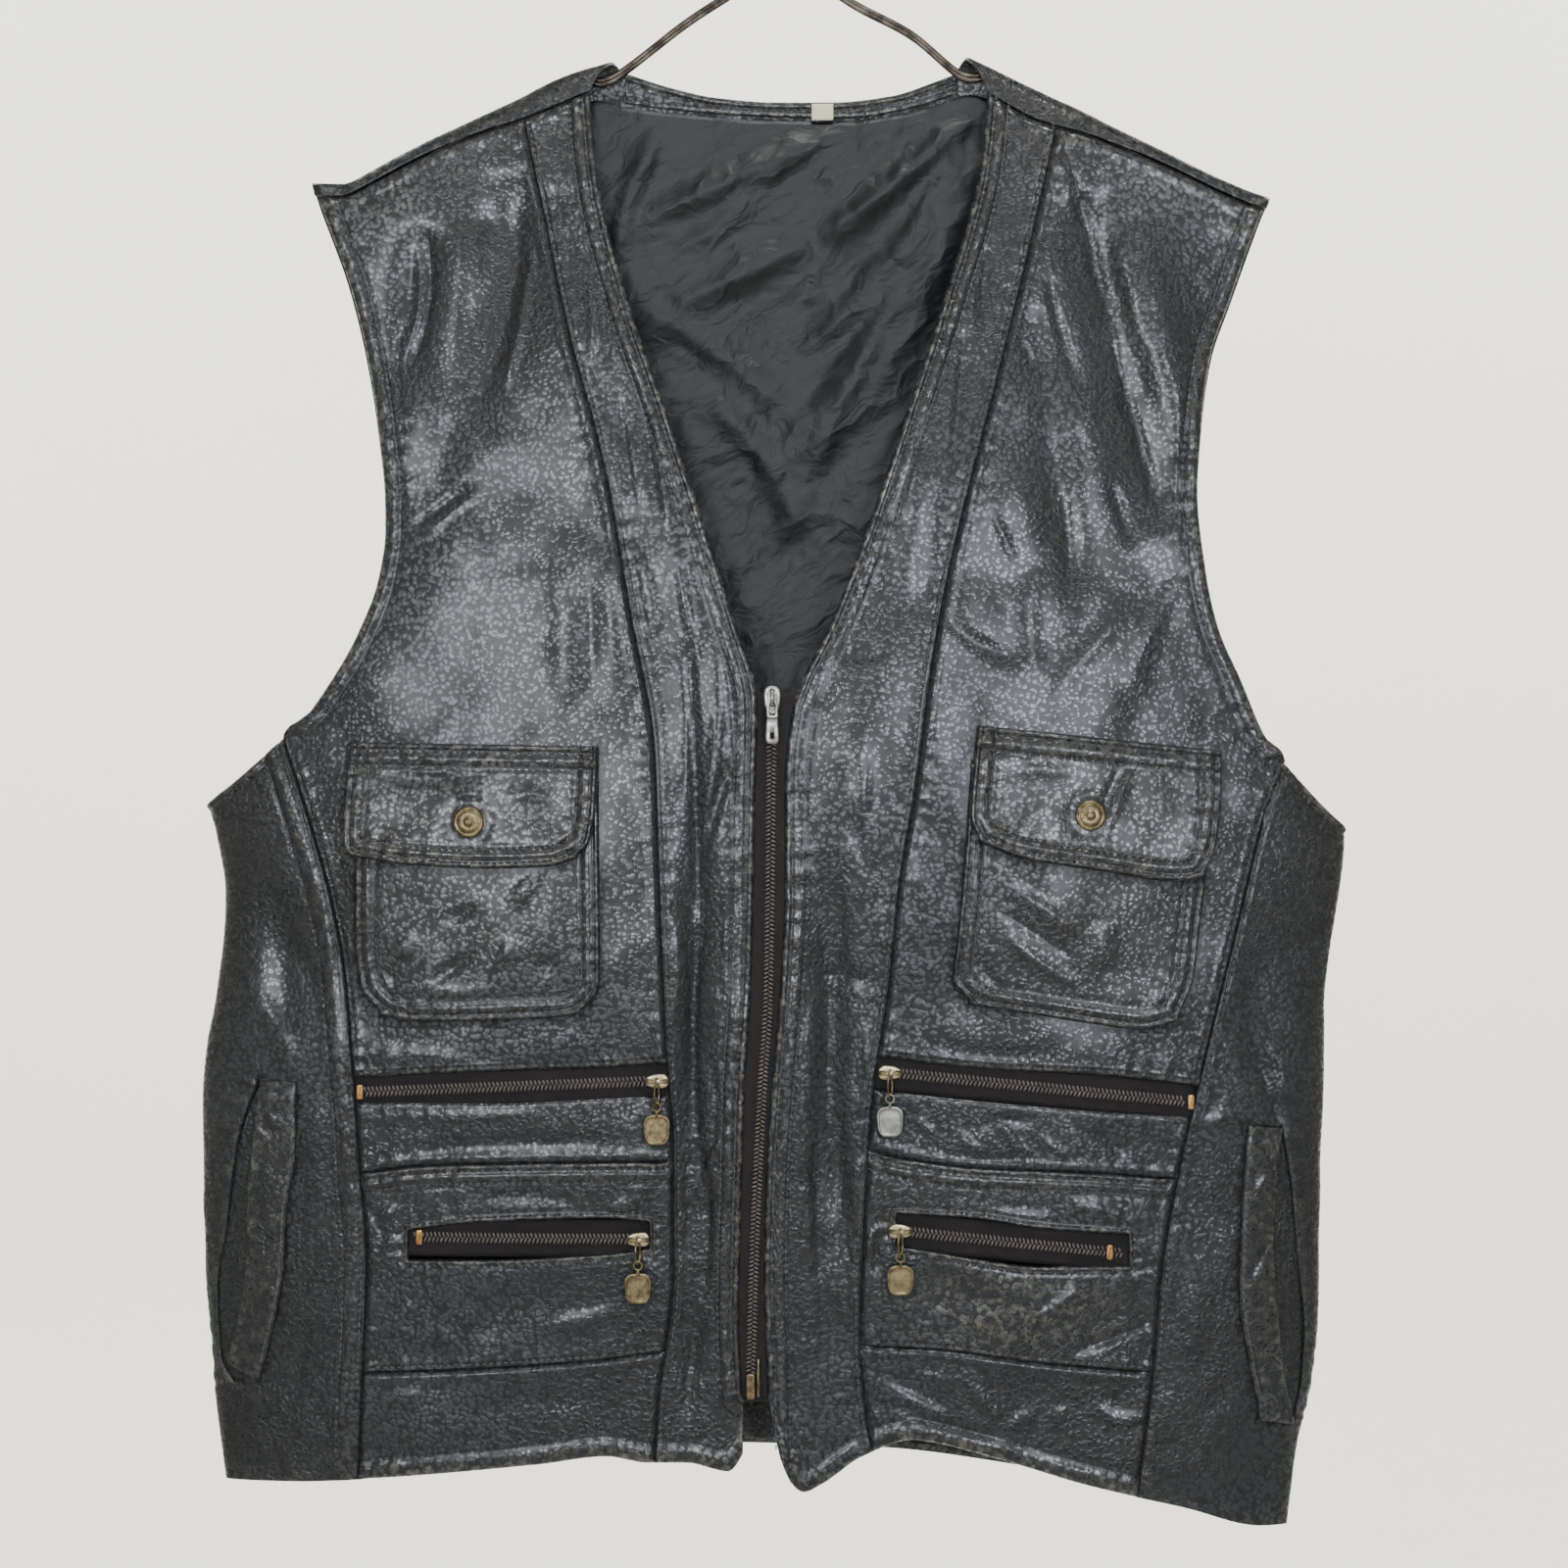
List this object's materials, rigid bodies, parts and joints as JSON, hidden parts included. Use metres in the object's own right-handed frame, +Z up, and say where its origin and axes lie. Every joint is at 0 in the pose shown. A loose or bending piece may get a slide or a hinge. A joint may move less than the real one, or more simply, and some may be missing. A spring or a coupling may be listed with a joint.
{
  "type": "leather vest on a wire hanger",
  "caption": "V-neck leather vest with a full front zip, flap chest pockets, zip pockets and slanted side pockets, hanging on a grooved metal hanger.",
  "frame": {"origin": "inside top of the hanger's hook, where a rail would carry it", "axes": "+Z up, +X to the wearer's left (the picture's right), -Y out of the vest's front"},
  "size_m": [0.5488, 0.0639, 0.83],
  "materials": {
    "leather": "pebbled black leather, semi-gloss, slightly blue-green, worn pale at the edges",
    "lining": "charcoal satin lining",
    "label": "blank cream woven label",
    "zip_tape": "brown-black woven tape with a nylon coil",
    "zinc": "silver-grey cast zinc, worn",
    "pale_brass": "pale gold plated zip slider",
    "antique_brass": "antique brass, dark in the recesses",
    "copper": "bright copper crimp",
    "hanger_steel": "bronze-grey metal wire"
  },
  "bodies": {
    "vest": {"back": "leather", "front_band_r": "leather", "front_band_l": "leather", "chest_panel_r": "leather", "chest_panel_l": "leather", "zip_strip_r": "leather", "zip_strip_l": "leather", "pouch_r": "leather", "pouch_l": "leather", "hem_panel_r": "leather", "hem_panel_l": "leather", "side_panel_r": "leather", "side_panel_l": "leather", "chest_pocket_r": "leather", "chest_pocket_l": "leather", "pocket_flap_r": "leather", "pocket_flap_l": "leather", "welt_r": "leather", "welt_l": "leather", "welt_facing_r": "leather", "welt_facing_l": "leather", "back_neck_facing": "leather", "back_lining": "lining", "size_label": "label", "main_zip_tape_r": "zip_tape", "main_zip_tape_l": "zip_tape", "upper_zip_r": "zip_tape", "upper_zip_l": "zip_tape", "lower_zip_r": "zip_tape", "lower_zip_l": "zip_tape", "main_zip_slider": "zinc", "main_zip_box": "antique_brass", "upper_slider_r": "pale_brass", "upper_slider_l": "pale_brass", "lower_slider_r": "pale_brass", "lower_slider_l": "pale_brass", "upper_stop_r": "copper", "upper_stop_l": "copper", "lower_stop_r": "copper", "lower_stop_l": "copper", "snap_cap_r": "antique_brass", "snap_cap_l": "antique_brass", "hanger": "hanger_steel"},
    "main_pull": {"main_zip_pull": "zinc"},
    "upper_link_body_r": {"upper_link_r": "antique_brass"},
    "upper_pendant_body_r": {"upper_pendant_r": "antique_brass"},
    "lower_link_body_r": {"lower_link_r": "antique_brass"},
    "lower_pendant_body_r": {"lower_pendant_r": "antique_brass"},
    "upper_link_body_l": {"upper_link_l": "antique_brass"},
    "upper_pendant_body_l": {"upper_pendant_l": "antique_brass"},
    "lower_link_body_l": {"lower_link_l": "antique_brass"},
    "lower_pendant_body_l": {"lower_pendant_l": "antique_brass"}
  },
  "joints": [
    {"name": "main_pull_flip", "type": "hinge", "parent": "vest", "child": "main_pull", "pos_m": [-0.00702, -0.02884, -0.43069], "axis": [-1, 0, 0], "range_deg": [0, 125]},
    {"name": "upper_link_lift_r", "type": "hinge", "parent": "vest", "child": "upper_link_body_r", "pos_m": [-0.06199, -0.03232, -0.61136], "axis": [-1, 0, 0], "range_deg": [0, 90]},
    {"name": "upper_pendant_swing_r", "type": "hinge", "parent": "upper_link_body_r", "child": "upper_pendant_body_r", "pos_m": [-0.06199, -0.03232, -0.62286], "axis": [0, 1, 0], "range_deg": [-30, 30]},
    {"name": "lower_link_lift_r", "type": "hinge", "parent": "vest", "child": "lower_link_body_r", "pos_m": [-0.071, -0.03144, -0.68691], "axis": [-1, 0, 0], "range_deg": [0, 90]},
    {"name": "lower_pendant_swing_r", "type": "hinge", "parent": "lower_link_body_r", "child": "lower_pendant_body_r", "pos_m": [-0.071, -0.03144, -0.69841], "axis": [0, 1, 0], "range_deg": [-30, 30]},
    {"name": "upper_link_lift_l", "type": "hinge", "parent": "vest", "child": "upper_link_body_l", "pos_m": [0.049, -0.03238, -0.6074], "axis": [-1, 0, 0], "range_deg": [0, 90]},
    {"name": "upper_pendant_swing_l", "type": "hinge", "parent": "upper_link_body_l", "child": "upper_pendant_body_l", "pos_m": [0.049, -0.03238, -0.6189], "axis": [0, 1, 0], "range_deg": [-30, 30]},
    {"name": "lower_link_lift_l", "type": "hinge", "parent": "vest", "child": "lower_link_body_l", "pos_m": [0.054, -0.03145, -0.68303], "axis": [-1, 0, 0], "range_deg": [0, 90]},
    {"name": "lower_pendant_swing_l", "type": "hinge", "parent": "lower_link_body_l", "child": "lower_pendant_body_l", "pos_m": [0.054, -0.03145, -0.69453], "axis": [0, 1, 0], "range_deg": [-30, 30]}
  ]
}
